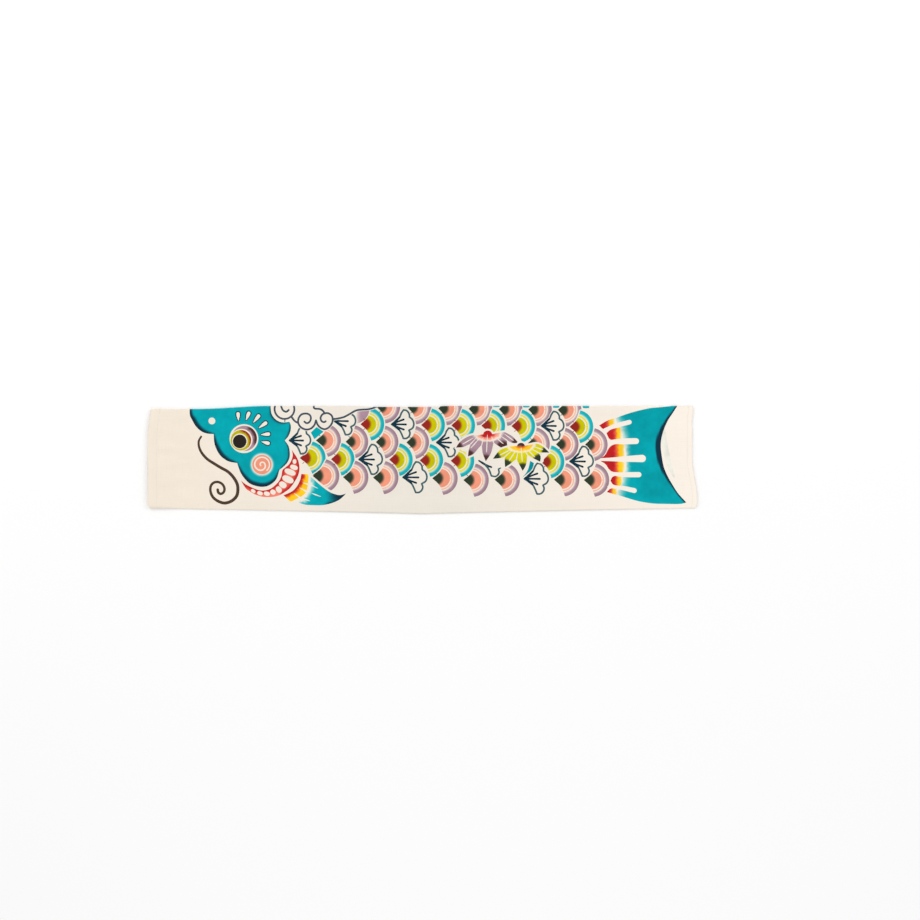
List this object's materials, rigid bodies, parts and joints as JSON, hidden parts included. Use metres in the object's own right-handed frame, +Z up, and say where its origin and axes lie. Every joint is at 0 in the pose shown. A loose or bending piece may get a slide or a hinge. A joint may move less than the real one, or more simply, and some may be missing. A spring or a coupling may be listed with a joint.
{
  "type": "carp streamer",
  "caption": "Flat-laid carp-shaped tube streamer of dyed cotton, with a wired mouth casing, a hemmed tail and a sewn belly seam.",
  "frame": {"origin": "middle of the underside of the flat-laid streamer, on the surface that it lies on", "axes": "+X from the mouth to the tail, +Y towards the folded back, +Z up from the surface, through the flat tube"},
  "size_m": [0.9002, 0.177, 0.0056],
  "materials": {
    "dyed_cotton": "hand dyed cotton broadcloth, teal, salmon, mauve and lime on cream",
    "plain_cotton": "undyed cotton broadcloth",
    "sewing_thread": "cotton sewing thread",
    "soft_wire": "galvanised soft wire"
  },
  "bodies": {
    "head_half": {"cloth_head_half": "dyed_cotton", "mouth_casing": "plain_cotton", "mouth_wire": "soft_wire", "mouth_casing_stitching": "sewing_thread", "belly_seam_head_half": "plain_cotton", "belly_thread_head_half": "sewing_thread"},
    "tail_half": {"cloth_tail_half": "dyed_cotton", "tail_hem": "plain_cotton", "tail_hem_stitching": "sewing_thread", "belly_seam_tail_half": "plain_cotton", "belly_thread_tail_half": "sewing_thread"}
  },
  "joints": [
    {"name": "fold_in_half", "type": "hinge", "parent": "head_half", "child": "tail_half", "pos_m": [0, 0, 0.0033], "axis": [0, -1, 0], "range_deg": [0, 178]}
  ]
}
